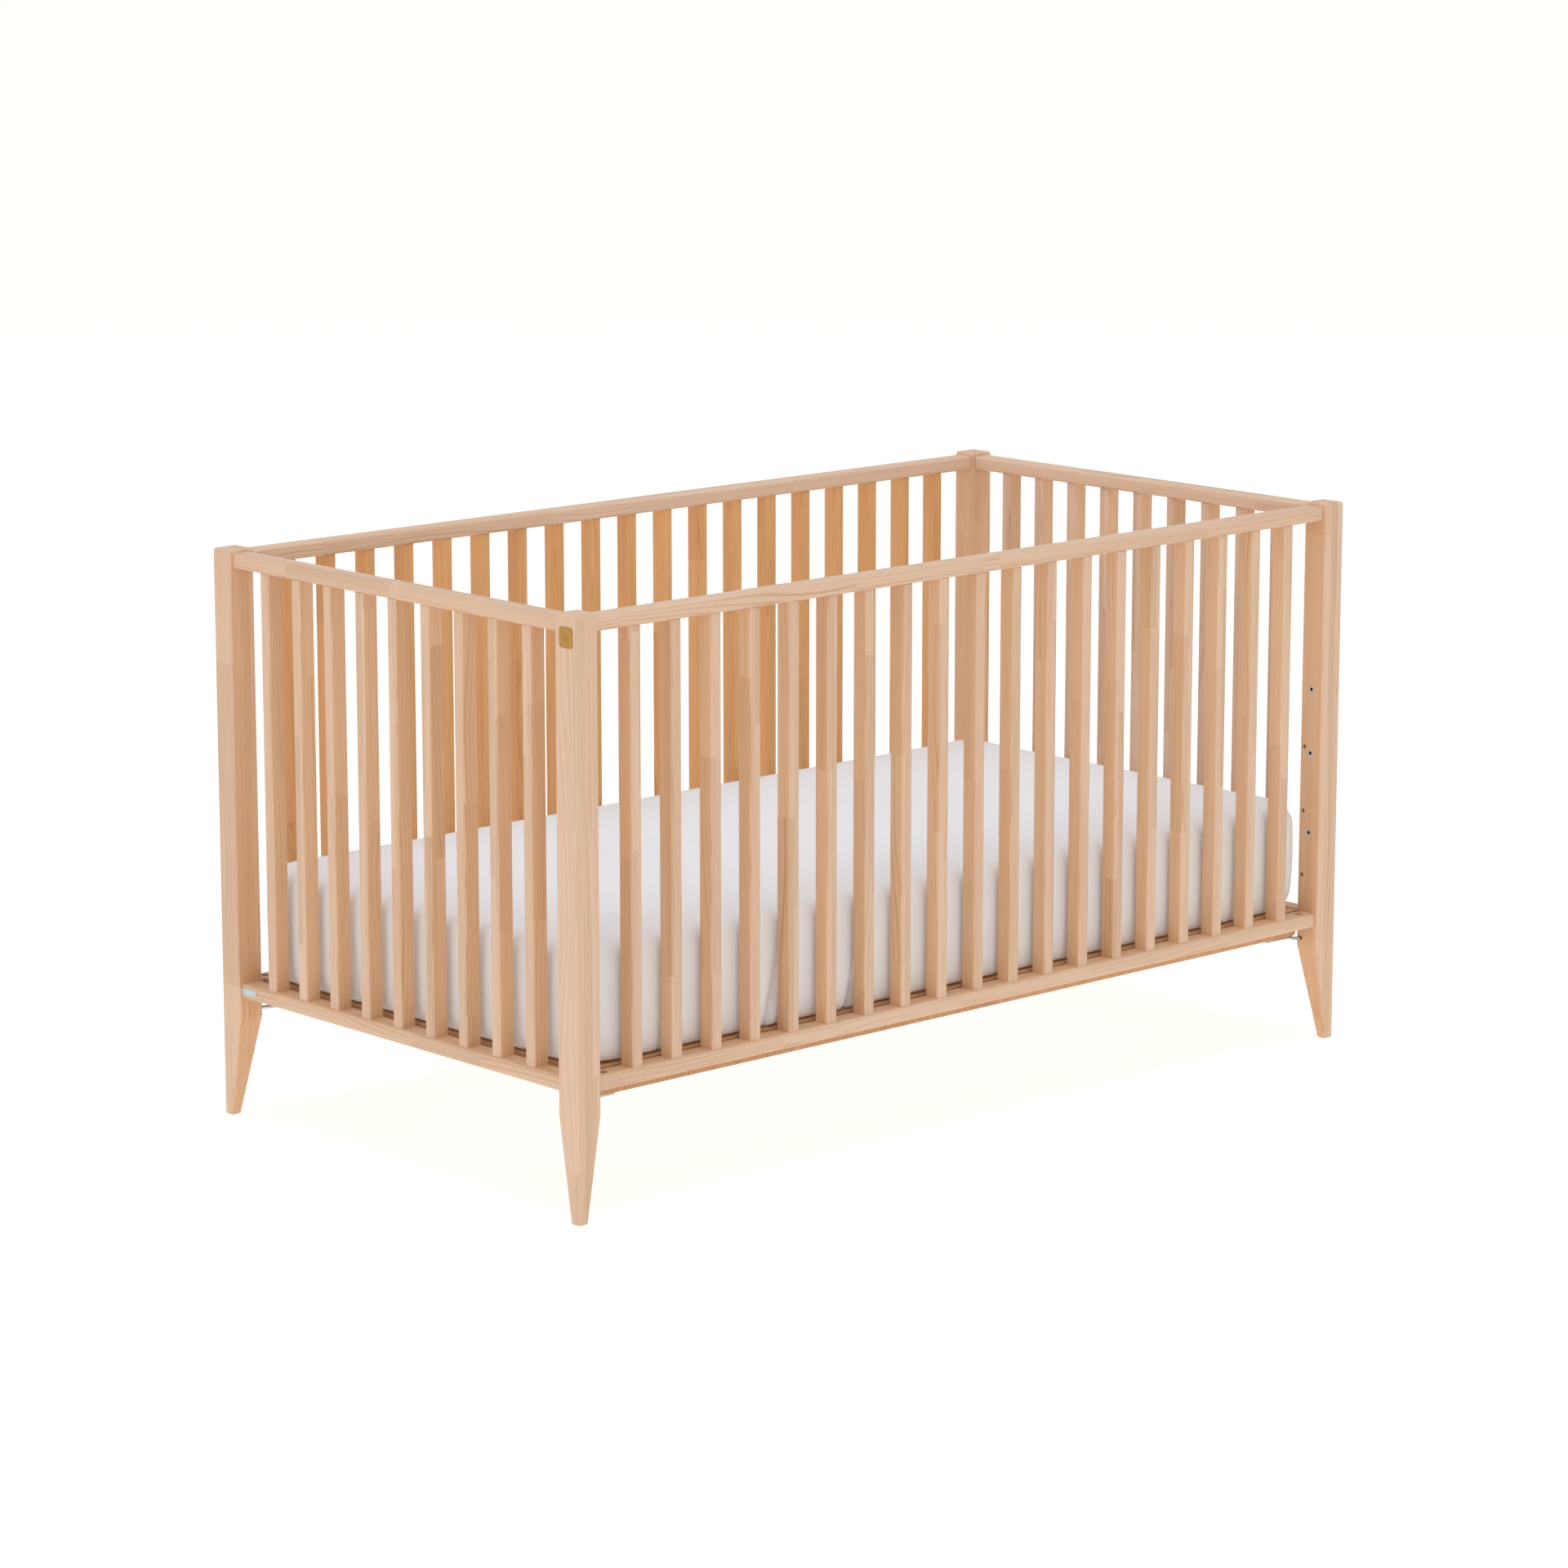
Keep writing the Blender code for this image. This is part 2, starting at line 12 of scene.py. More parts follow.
import bmesh
import bpy
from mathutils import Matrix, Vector

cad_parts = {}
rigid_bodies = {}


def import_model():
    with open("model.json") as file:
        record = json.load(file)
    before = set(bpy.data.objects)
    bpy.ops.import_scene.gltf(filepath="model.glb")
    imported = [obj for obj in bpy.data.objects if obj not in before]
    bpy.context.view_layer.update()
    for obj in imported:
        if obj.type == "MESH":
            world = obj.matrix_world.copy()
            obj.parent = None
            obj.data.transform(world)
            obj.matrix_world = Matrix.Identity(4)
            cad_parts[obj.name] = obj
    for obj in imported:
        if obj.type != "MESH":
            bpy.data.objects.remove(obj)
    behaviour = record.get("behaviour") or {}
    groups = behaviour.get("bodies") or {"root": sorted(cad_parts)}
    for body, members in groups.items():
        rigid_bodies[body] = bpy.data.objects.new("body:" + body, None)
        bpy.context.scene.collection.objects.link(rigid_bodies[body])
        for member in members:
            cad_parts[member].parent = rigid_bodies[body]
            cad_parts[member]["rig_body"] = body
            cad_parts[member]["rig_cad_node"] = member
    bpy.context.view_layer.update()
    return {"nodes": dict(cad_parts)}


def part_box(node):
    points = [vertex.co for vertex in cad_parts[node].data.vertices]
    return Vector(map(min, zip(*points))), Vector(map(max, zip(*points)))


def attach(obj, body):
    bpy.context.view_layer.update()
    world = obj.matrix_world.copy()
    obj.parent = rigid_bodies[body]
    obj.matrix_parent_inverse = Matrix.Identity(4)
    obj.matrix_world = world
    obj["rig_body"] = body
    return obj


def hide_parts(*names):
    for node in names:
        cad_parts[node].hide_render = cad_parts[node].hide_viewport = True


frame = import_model()

# ---- Dimensions that the looks need -------------------------------------------------------------
BAR_PITCH = 0.070
BAR_FOOT_Z = 0.1951  # bars stand on the bottom rails here
SLAT_PITCH = 0.1284

# Widths of the laminated strips, and lengths of the finger-jointed blocks in them.
POST_STRIP, POST_BLOCK = 0.0137, 0.46
BAR_STRIP, BAR_BLOCK = 0.0125, 0.29
RAIL_STRIP, RAIL_BLOCK = 0.040, 0.42
BASE_STRIP, BASE_BLOCK = 0.06, 0.5
SIDE_BOARD_STRIP, SIDE_BOARD_BLOCK = 0.9, 0.9  # the figure is upright, so a strip is along X
SLAT_STRIP, SLAT_BLOCK = 0.2, 0.9

# Spacing of the growth rings.
RINGS = 0.0036
POST_RINGS = 0.0040
SIDE_BOARD_RINGS = 0.0046

METAL_LINES = 900.0  # drawing lines per metre, across the draw
THREAD = 0.00062  # pitch of the cover's weave

# ---- Colours, linear ----------------------------------------------------------------------------
WOOD_LIGHT = (0.762, 0.548, 0.406)
WOOD_MID = (0.693, 0.468, 0.320)
WOOD_DARK = (0.498, 0.286, 0.161)
SIDE_FACE_PAINTED_SHADE = (1.05, 0.98, 0.85)  # painted warm shade and bounce light on the bars' side faces, and on the tops of the rails under them
INNER_FACE_PAINTED_SHADE = (1.0, 0.90, 0.76)  # painted warm shade on the posts' inner faces
BASE_TOP_PAINTED_LIGHT = (1.36, 1.40, 1.40)  # painted light on the tops of the base's boards
BACK_BAR_PAINTED_SHADE = (1.04, 0.80, 0.465)  # painted warm shade on the back bars, as seen through the crib
BASE_LIGHT = (0.670, 0.400, 0.210)
BASE_MID = (0.558, 0.307, 0.154)
BASE_DARK = (0.378, 0.186, 0.086)
# Brightness of a block of wood, from the darkest one to the lightest.
BLOCK_TONES = (
    (0.0, (0.905, 0.880, 0.850)),
    (0.35, (0.985, 0.960, 0.935)),
    (0.65, (1.0, 1.0, 1.0)),
    (1.0, (1.040, 1.045, 1.060)),
)
# Depth of colour across one growth ring, from early wood to late wood and back.
RING_TONES = ((0.0, 0.35), (0.12, 0.0), (0.55, 0.12), (0.86, 1.0), (1.0, 0.35))
# How much each layer of the grain darkens the wood.
RING_WEIGHT = 0.50
FIBRE_WEIGHT = 0.27
BROAD_WEIGHT = 0.22
PORE_WEIGHT = 0.15


# ---- Material nodes -----------------------------------------------------------------------------
class Graph:
    """One material's node tree, with short calls for the nodes used here."""

    def __init__(self, name):
        self.material = bpy.data.materials.new(name)
        self.material.use_nodes = True
        self.tree = self.material.node_tree
        self.shader = self.tree.nodes["Principled BSDF"]

    def feed(self, socket, value):
        if isinstance(value, bpy.types.NodeSocket):
            self.tree.links.new(value, socket)
        else:
            socket.default_value = value

    def put(self, kind, inputs=(), **settings):
        node = self.tree.nodes.new(kind)
        for key, value in settings.items():
            setattr(node, key, value)
        for key, value in dict(inputs).items():
            self.feed(node.inputs[key], value)
        return node

    def math(self, operation, *values):
        node = self.put("ShaderNodeMath", operation=operation)
        for slot, value in enumerate(values):
            self.feed(node.inputs[slot], value)
        return node.outputs[0]

    def combine(self, x, y, z):
        return self.put("ShaderNodeCombineXYZ", {"X": x, "Y": y, "Z": z}).outputs[0]

    def split(self, vector):
        node = self.put("ShaderNodeSeparateXYZ", {"Vector": vector})
        return node.outputs[0], node.outputs[1], node.outputs[2]

    def place(self):
        return self.put("ShaderNodeTexCoord").outputs["Object"]

    def scaled(self, values, scales):
        """The three values, each times its own scale, as a vector."""
        return self.combine(
            *(self.math("MULTIPLY", value, scale) for value, scale in zip(values, scales))
        )

    def noise(self, vector, scale=1.0, detail=2.0, roughness=0.5):
        node = self.put(
            "ShaderNodeTexNoise",
            {"Vector": vector, "Scale": scale, "Detail": detail, "Roughness": roughness},
        )
        return node.outputs["Fac"]

    def random(self, vector):
        """Three steady random numbers for a cell."""
        node = self.put("ShaderNodeTexWhiteNoise", {"Vector": vector}, noise_dimensions="3D")
        return self.split(node.outputs["Color"])

    def ramp(self, factor, stops, ease="LINEAR"):
        """stops are (place, colour), where the colour is three numbers or one grey."""
        node = self.put("ShaderNodeValToRGB", {"Fac": factor})
        ramp = node.color_ramp
        ramp.interpolation = ease
        while len(ramp.elements) < len(stops):
            ramp.elements.new(0.5)
        for element, (at, colour) in zip(ramp.elements, stops):
            element.position = at
            rgb = colour if isinstance(colour, tuple) else (colour,) * 3
            element.color = (*rgb, 1.0)
        return node.outputs["Color"]

    def mix(self, factor, first, second, blend="MIX"):
        node = self.put("ShaderNodeMix", data_type="RGBA", blend_type=blend)
        self.feed(node.inputs["Factor"], factor)
        for key, value in ((6, first), (7, second)):
            self.feed(node.inputs[key], (*value, 1.0) if isinstance(value, tuple) else value)
        return node.outputs[2]

    def choose(self, factor, first, second):
        """first where factor is 0, second where it is 1."""
        node = self.put("ShaderNodeMix", data_type="FLOAT")
        for key, value in ((0, factor), (2, first), (3, second)):
            self.feed(node.inputs[key], value)
        return node.outputs[0]

    def span(self, value, low, high, to_low, to_high):
        node = self.put(
            "ShaderNodeMapRange",
            {
                "Value": value,
                "From Min": low,
                "From Max": high,
                "To Min": to_low,
                "To Max": to_high,
            },
        )
        return node.outputs[0]

    def bump(self, height, distance, strength):
        node = self.put(
            "ShaderNodeBump", {"Height": height, "Distance": distance, "Strength": strength}
        )
        return node.outputs[0]

    def finish(self, colour, roughness, normal=None, **constants):
        self.feed(self.shader.inputs["Base Color"], colour)
        self.feed(self.shader.inputs["Roughness"], roughness)
        if normal is not None:
            self.feed(self.shader.inputs["Normal"], normal)
        for key, value in constants.items():
            self.shader.inputs[key.replace("_", " ")].default_value = value
        return self.material


def wood(
    name,
    grain,
    strip,
    block,
    cell=(0.0, 0.0),
    comb=False,
    tones=(WOOD_LIGHT, WOOD_MID, WOOD_DARK),
    rings=RINGS,
    edge=None,
):
    """Finger-jointed, laminated wood with its grain along one axis.

    cell is the spacing of pieces across X and Y, or 0 where only the side of the middle counts.
    In a comb, all above BAR_FOOT_Z is upright bars, and below it is a rail along the grain.
    edge is (side, tint): painted light or shade, a tint on the faces that side picks:
    "x" or "y": those of a comb's bars that look along this axis, and the top of its rail;
    "inside": those that look towards the crib's middle in X or in Y;
    "back": those of a comb's bars that don't look towards +Y;
    "top": those that look up.
    """
    light, mid, dark = tones
    g = Graph(name)
    x, y, z = g.split(g.place())
    upright = g.math("GREATER_THAN", z, BAR_FOOT_Z) if comb else (1.0 if grain == "z" else 0.0)

    def number(at, size):
        if size:
            return g.math("FLOOR", g.math("ADD", g.math("DIVIDE", at, size), 0.5))
        return g.math("GREATER_THAN", at, 0.0)

    id_x, id_y = number(x, cell[0]), number(y, cell[1])
    if comb:
        if cell[0]:
            id_x = g.math("MULTIPLY", id_x, upright)
        if cell[1]:
            id_y = g.math("MULTIPLY", id_y, upright)
    along = {"x": x, "y": y, "z": z}[grain]
    across, through = {"x": (y, z), "y": (x, z), "z": (x, y)}[grain]
    if comb:
        along = g.choose(upright, along, z)
        through = g.choose(upright, z, y if grain == "x" else x)
        across = g.choose(upright, across, x if grain == "x" else y)
    piece_a, piece_b, _ = g.random(g.combine(id_x, id_y, upright))

    # Laminated strips, each made of blocks joined end to end.
    strip_number = g.math(
        "FLOOR", g.math("ADD", g.math("DIVIDE", across, strip), g.math("MULTIPLY", piece_a, 5.0))
    )
    row = g.combine(
        g.math("MULTIPLY_ADD", strip_number, 3.17, id_x),
        g.math("MULTIPLY_ADD", piece_b, 11.0, id_y),
        upright,
    )
    start, _, _ = g.random(row)
    block_number = g.math(
        "FLOOR", g.math("MULTIPLY_ADD", start, 9.0, g.math("DIVIDE", along, block))
    )
    block_id = g.combine(
        g.math("MULTIPLY_ADD", block_number, 7.31, strip_number),
        g.math("ADD", id_x, piece_a),
        g.math("MULTIPLY_ADD", upright, 3.0, id_y),
    )
    tone, turn, shift = g.random(block_id)

    # Each block shows a different stretch of the grain.
    moved = g.math("MULTIPLY", shift, 40.0)

    def drawn_out(wide, long, **settings):
        """Noise drawn out along the grain: details per metre across it and along it."""
        return g.noise(
            g.combine(
                g.math("MULTIPLY", across, wide),
                g.math("MULTIPLY", through, wide),
                g.math("MULTIPLY_ADD", along, long, moved),
            ),
            **settings,
        )

    # Growth rings cut at a slant, wavering slowly along the grain.
    slow = drawn_out(14.0, 2.2, detail=1.0)
    lean = g.span(turn, 0.0, 1.0, 0.45, 1.15)
    sloped = g.math(
        "ADD",
        g.math("MULTIPLY", across, lean),
        g.math("MULTIPLY", through, g.math("SUBTRACT", 1.55, lean)),
    )
    phase = g.math(
        "ADD",
        g.math("DIVIDE", sloped, rings),
        g.math("MULTIPLY_ADD", slow, 9.0, moved),
    )
    ring = g.ramp(g.math("FRACT", phase), RING_TONES, "EASE")
    # Some rings are strong and others fade, and the same ring fades along the grain.
    fading = g.noise(
        g.combine(g.math("MULTIPLY", phase, 0.31), shift, g.math("MULTIPLY", along, 1.1))
    )
    ring = g.math("MULTIPLY", ring, g.span(fading, 0.32, 0.68, 0.08, 1.0))
    fibre = drawn_out(850.0, 9.0, detail=3.0, roughness=0.6)
    pore = g.span(drawn_out(2100.0, 130.0, detail=1.0), 0.60, 0.72, 0.0, 1.0)
    broad = drawn_out(60.0, 1.6)
    figure = g.math("MULTIPLY", ring, RING_WEIGHT)
    for layer, weight in (
        (g.span(fibre, 0.3, 0.7, 0.0, 1.0), FIBRE_WEIGHT),
        (g.span(broad, 0.3, 0.7, 0.0, 1.0), BROAD_WEIGHT),
        (pore, PORE_WEIGHT),
    ):
        figure = g.math("MULTIPLY_ADD", layer, weight, figure)
    colour = g.ramp(figure, ((0.0, light), (0.38, mid), (1.0, dark)))
    # Each block has its own depth of colour, and the darker ones are a little warmer.
    colour = g.mix(1.0, colour, g.ramp(tone, BLOCK_TONES), "MULTIPLY")
    # Painted light and shade: the faces that side picks take the tint.
    if edge:
        side, painted_tint = edge
        facing = g.split(g.put("ShaderNodeTexCoord").outputs["Normal"])
        if side == "inside":
            inward = [
                g.math("MULTIPLY", facing[axis], g.math("SIGN", at))
                for axis, at in enumerate((x, y))
            ]
            turned = g.math("MULTIPLY", g.math("MINIMUM", *inward), -1.0)
        elif side == "back":
            turned = g.math("MULTIPLY", upright, g.math("SUBTRACT", 1.0, facing[1]))
        elif side == "top":
            turned = facing[2]
        else:
            turned = g.math("ABSOLUTE", facing["xy".index(side)])
            turned = g.choose(upright, facing[2], turned)
        # Rounded edges pass softly from the plain colour to the painted one.
        turned = g.span(turned, 0.45, 0.85, 0.0, 1.0)
        colour = g.mix(turned, colour, g.mix(1.0, colour, painted_tint, "MULTIPLY"))
    roughness = g.span(
        g.math("MULTIPLY_ADD", figure, 0.6, g.math("MULTIPLY", fibre, 0.5)), 0.1, 0.8, 0.46, 0.62
    )
    height = g.math(
        "SUBTRACT", g.math("MULTIPLY", fibre, 0.5), g.math("MULTIPLY_ADD", pore, 0.8, figure)
    )
    return g.finish(
        colour,
        roughness,
        g.bump(height, 0.00012, 0.55),
        Specular_IOR_Level=0.32,
        Coat_Weight=0.04,
        Coat_Roughness=0.38,
    )


def metal(name, colour, roughness, worn, draw=(1.0, 1.0, 1.0)):
    """Drawn or rolled metal: fine lines along the axis with a small draw, and slight staining."""
    g = Graph(name)
    at = g.place()
    scales = [METAL_LINES * share for share in draw]
    lines = g.noise(g.scaled(g.split(at), scales), detail=3.0, roughness=0.65)
    stain = g.noise(at, scale=120.0, detail=3.0)
    tone = g.math("MULTIPLY_ADD", lines, 0.45, g.math("MULTIPLY", stain, 0.55))
    shade = g.ramp(tone, ((0.25, worn), (0.62, colour)))
    rough = g.span(tone, 0.25, 0.75, roughness * 1.5, roughness * 0.8)
    return g.finish(shade, rough, g.bump(lines, 0.00004, 0.4), Metallic=1.0)


def label_print(name):
    """Pale printed plastic, slightly mottled."""
    g = Graph(name)
    at = g.place()
    mottle = g.noise(at, scale=700.0, detail=3.0)
    cloud = g.noise(at, scale=60.0)
    tone = g.math("MULTIPLY_ADD", mottle, 0.4, g.math("MULTIPLY", cloud, 0.6))
    colour = g.ramp(tone, ((0.3, (0.47, 0.53, 0.57)), (0.7, (0.60, 0.66, 0.69))))
    return g.finish(colour, g.span(mottle, 0.3, 0.7, 0.36, 0.5), g.bump(mottle, 0.00002, 0.5))


def cotton(name):
    """Close plain weave with a little slub, for the fitted cover."""
    g = Graph(name)
    at = g.place()
    x, y, z = g.split(at)
    warp = g.math("SINE", g.math("MULTIPLY", g.math("ADD", x, z), math.tau / THREAD))
    weft = g.math("SINE", g.math("MULTIPLY", g.math("SUBTRACT", y, z), math.tau / THREAD))
    weave = g.math("MULTIPLY", warp, weft)
    slub = g.noise(at, scale=420.0, detail=3.0, roughness=0.6)
    cloud = g.noise(at, scale=9.0)
    soft = g.noise(at, scale=34.0, detail=3.0)
    tone = g.math("MULTIPLY_ADD", cloud, 0.55, g.math("MULTIPLY", slub, 0.25))
    tone = g.math("MULTIPLY_ADD", weave, 0.06, tone)
    colour = g.ramp(tone, ((0.2, (0.845, 0.852, 0.870)), (0.65, (0.880, 0.890, 0.912))))
    height = g.math("MULTIPLY_ADD", weave, 0.10, g.math("MULTIPLY", slub, 0.35))
    height = g.math("MULTIPLY_ADD", soft, 0.8, height)
    return g.finish(
        colour,
        g.span(slub, 0.3, 0.7, 0.80, 0.92),
        g.bump(height, 0.0006, 0.5),
        Specular_IOR_Level=0.22,
        Sheen_Weight=0.18,
        Sheen_Roughness=0.5,
    )


# The posts' inner faces take a painted warm shade.
POST_WOOD = wood(
    "post_wood_looks",
    "z",
    POST_STRIP,
    POST_BLOCK,
    rings=POST_RINGS,
    edge=("inside", INNER_FACE_PAINTED_SHADE),
)
LONG_RAIL_WOOD = wood("long_rail_wood_looks", "x", RAIL_STRIP, RAIL_BLOCK)
END_RAIL_WOOD = wood("end_rail_wood_looks", "y", RAIL_STRIP, RAIL_BLOCK)


def comb_wood(name, grain, edge):
    """A bottom rail along the grain, with the bars that stand on it."""
    cell = (BAR_PITCH, 0.0) if grain == "x" else (0.0, BAR_PITCH)
    return wood(name, grain, BAR_STRIP, BAR_BLOCK, cell=cell, comb=True, edge=edge)


# The front and end bars' side faces, and the tops of their rails, take a painted warm shade.
LONG_BAR_WOOD = comb_wood("long_bar_wood_looks", "x", ("x", SIDE_FACE_PAINTED_SHADE))
# The back bars take a painted warm shade on all faces but those that look towards +Y.
BACK_BAR_WOOD = comb_wood("back_bar_wood_looks", "x", ("back", BACK_BAR_PAINTED_SHADE))
END_BAR_WOOD = comb_wood("end_bar_wood_looks", "y", ("y", SIDE_FACE_PAINTED_SHADE))
# The base's boards take painted light on their tops.
BASE_LOOKS = {"tones": (BASE_LIGHT, BASE_MID, BASE_DARK), "edge": ("top", BASE_TOP_PAINTED_LIGHT)}
SIDE_BOARD_WOOD = wood(
    "side_board_wood_looks",
    "z",
    SIDE_BOARD_STRIP,
    SIDE_BOARD_BLOCK,
    rings=SIDE_BOARD_RINGS,
    **BASE_LOOKS,
)
BASE_WOOD = wood("base_wood_looks", "y", BASE_STRIP, BASE_BLOCK, **BASE_LOOKS)
LEDGER_WOOD = wood("ledger_wood_looks", "x", BASE_STRIP, BASE_BLOCK, **BASE_LOOKS)
SLAT_WOOD = wood("slat_wood_looks", "y", SLAT_STRIP, SLAT_BLOCK, cell=(SLAT_PITCH, 0.0))
HOOK_STEEL = metal("hook_steel", (0.52, 0.53, 0.55), 0.24, (0.36, 0.37, 0.38), (0.04, 1.0, 1.0))
SLEEVE_STEEL = metal("sleeve_steel_looks", (0.70, 0.71, 0.73), 0.26, (0.48, 0.49, 0.50))
CAM_ZINC = metal("cam_zinc_looks", (0.16, 0.13, 0.11), 0.45, (0.07, 0.055, 0.045))
BADGE_BRASS = metal(
    "badge_brass_looks", (0.50, 0.290, 0.082), 0.36, (0.38, 0.210, 0.052), (1.0, 1.0, 0.05)
)
LABEL_PRINT = label_print("label_print_looks")
COTTON = cotton("fitted_cotton")

# The first start that fits a node's name gives its look.
STARTS = (
    ("post_", POST_WOOD),
    ("top_rail_front", LONG_RAIL_WOOD),
    ("top_rail_back", LONG_RAIL_WOOD),
    ("top_rail_", END_RAIL_WOOD),
    ("barred_side_front", LONG_BAR_WOOD),
    ("barred_side_back", BACK_BAR_WOOD),
    ("barred_end_", END_BAR_WOOD),
    ("base_side_", SIDE_BOARD_WOOD),
    ("base_end_", BASE_WOOD),
    ("base_ledger_", LEDGER_WOOD),
    ("base_slat_", SLAT_WOOD),
    ("hook_", HOOK_STEEL),
    ("sleeve_", SLEEVE_STEEL),
    ("cam_", CAM_ZINC),
    ("pin_", CAM_ZINC),
    ("badge_", BADGE_BRASS),
    ("label_", LABEL_PRINT),
    ("mattress", COTTON),
)

for node_name, node in frame["nodes"].items():
    chosen = next(look for start, look in STARTS if node_name.startswith(start))
    if not node.data.materials:
        node.data.materials.append(chosen)
    for slot in node.material_slots:
        slot.material = chosen

# ---- Mattress -----------------------------------------------------------------------------------
MATTRESS = "mattress"
low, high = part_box(MATTRESS)
middle = (low + high) / 2
half = (high - low) / 2
TALL = high.z - low.z

VOXEL = 0.009

# The cloth: it is held by its lowest part, and no point moves far.
CLOTH_FRAMES = 20
HELD_SHARE = 0.05
MOST_MOVE = 0.010
PRESSURE = 4.0

# The foam core.
TOP_R = 0.023
CORNER_R = 0.020
FOOT_CORNER_R = 0.022  # more at the bottom, where the cover is gathered under
FOOT_TUCK = 0.009
FOOT_REACH = 0.045

# The cover round the core: it stands out in the middle of its height, more at the corners.
BELLY = 0.0014
CORNER_BELLY = 0.0026
NEAR_CORE = 0.030  # a point further off than this isn't moved
CLOTH_SHARE = 0.35  # how much of the cloth's own shape is kept, between these limits
CLOTH_IN = -0.0030
CLOTH_OUT = 0.0015
FLAT_FOOT = 0.006  # below this the cover keeps close to the slats

# The slack of the cover on top.
CROWN = 0.0028
RIPPLE = 0.0016
RIPPLE_WAVES = 7
CROWN_FROM = 0.6  # of the height

ROOM = Vector((0.0028, 0.0008, 0.0060))  # beyond the CAD mattress, on each side


def applied(target, name):
    """Applies the modifier of this name."""
    bpy.context.view_layer.objects.active = target
    with bpy.context.temp_override(object=target, active_object=target):
        bpy.ops.object.modifier_apply(modifier=name)


def mattress_body():
    """The CAD mattress as an even mesh for the cloth."""
    body = frame["nodes"][MATTRESS].copy()
    body.data = body.data.copy()
    body.parent = None
    body.name = "mattress_cover"
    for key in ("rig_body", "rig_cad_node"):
        if key in body:
            del body[key]
    bpy.context.scene.collection.objects.link(body)
    even = body.modifiers.new("even", "REMESH")
    even.mode = "VOXEL"
    even.voxel_size = VOXEL
    even.use_smooth_shade = True
    applied(body, "even")
    return body


def swell(body):
    """The cover filled by its core: cloth under pressure, held where it lies on the slats."""
    rest = [vertex.co.copy() for vertex in body.data.vertices]
    held = body.vertex_groups.new(name="held")
    for vertex in body.data.vertices:
        up = (vertex.co.z - low.z) / TALL
        held.add([vertex.index], 1.0 if up < HELD_SHARE else 0.0, "REPLACE")
    cloth = body.modifiers.new("cover", "CLOTH")
    settings = cloth.settings
    settings.quality = 6
    settings.mass = 0.25
    settings.tension_stiffness = 12
    settings.compression_stiffness = 12
    settings.shear_stiffness = 6
    settings.bending_stiffness = 1.2
    settings.use_pressure = True
    settings.uniform_pressure_force = PRESSURE
    settings.vertex_group_mass = "held"
    settings.effector_weights.gravity = 0.0
    cloth.collision_settings.use_collision = False
    cloth.point_cache.frame_start = 1
    cloth.point_cache.frame_end = CLOTH_FRAMES
    scene = bpy.context.scene
    for frame_number in range(1, CLOTH_FRAMES + 1):
        scene.frame_set(frame_number)
    applied(body, "cover")
    for vertex, start in zip(body.data.vertices, rest):
        moved = vertex.co - start
        if moved.length > MOST_MOVE:
            vertex.co = start + moved.normalized() * MOST_MOVE
    scene.frame_set(1)


def core_gap(at):
    """How far a point is outside the foam core, and the way out of the core there."""
    near_foot = max(0.0, 1 - (at.z - low.z) / FOOT_REACH)
    corner = CORNER_R + FOOT_CORNER_R * near_foot**1.5
    inset = FOOT_TUCK * near_foot**4
    x, y = at.x - middle.x, at.y - middle.y
    past_x = abs(x) - (half.x - inset - corner)
    past_y = abs(y) - (half.y - inset - corner)
    if past_x > 0 and past_y > 0:
        reach = math.hypot(past_x, past_y)
        out = Vector((past_x / reach, past_y / reach, 0.0))
        side = reach - corner
    elif past_x > past_y:
        out, side = Vector((1.0, 0.0, 0.0)), past_x - corner
    else:
        out, side = Vector((0.0, 1.0, 0.0)), past_y - corner
    out.x, out.y = math.copysign(out.x, x), math.copysign(out.y, y)
    over = at.z - (high.z - TOP_R)
    if over <= 0:
        return side, out
    if side + TOP_R > 0:
        reach = math.hypot(side + TOP_R, over)
        return reach - TOP_R, out * ((side + TOP_R) / reach) + Vector((0, 0, over / reach))
    return at.z - high.z, Vector((0.0, 0.0, 1.0))


def fill_out(body):
    """The core holds the cloth out at the edges and corners; it keeps part of its own shape."""
    for vertex in body.data.vertices:
        at = vertex.co
        up = at.z - low.z
        gap, out = core_gap(at)
        if abs(gap) > NEAR_CORE:
            continue
        full = math.sin(math.pi * min(1.0, max(0.0, up / TALL)))
        belly = (BELLY + CORNER_BELLY * min(1.0, abs(2 * out.x * out.y))) * full
        wanted = min(CLOTH_OUT, max(CLOTH_IN, gap * CLOTH_SHARE)) + belly
        at += out * (wanted - gap) * min(1.0, up / FLAT_FOOT)


# Puckers low on the cover's front: place along it, lean, height, width and depth.
FRONT_PUCKERS = (
    (-0.560, 0.20, 0.055, 0.020, 0.0050),
    (-0.372, 0.30, 0.085, 0.022, 0.0120),
    (-0.325, -0.30, 0.055, 0.016, 0.0080),
    (-0.222, 0.35, 0.095, 0.022, 0.0130),
    (-0.175, -0.35, 0.065, 0.017, 0.0090),
    (-0.125, 0.20, 0.045, 0.016, 0.0060),
    (0.075, 0.10, 0.040, 0.018, 0.0035),
    (0.310, -0.10, 0.045, 0.017, 0.0040),
    (0.560, 0.15, 0.050, 0.018, 0.0042),
)


END_PUCKERS = (-0.22, -0.05, 0.13, 0.26)  # places along the ends
END_WIDE = 0.017
END_DEEP = 0.0045

# Where the folds of a side and of an end are: from this share of half the size across it
# outwards, and up to this share along it.
SIDE_ZONE = (0.93, 0.96)
END_ZONE = (0.97, 0.92)
FOLD_FADE = 1.6  # a fold is gone at this many times its height
FOLD_FOOT = 0.45  # a fold's width at the bottom, as a share of its width; it widens upwards


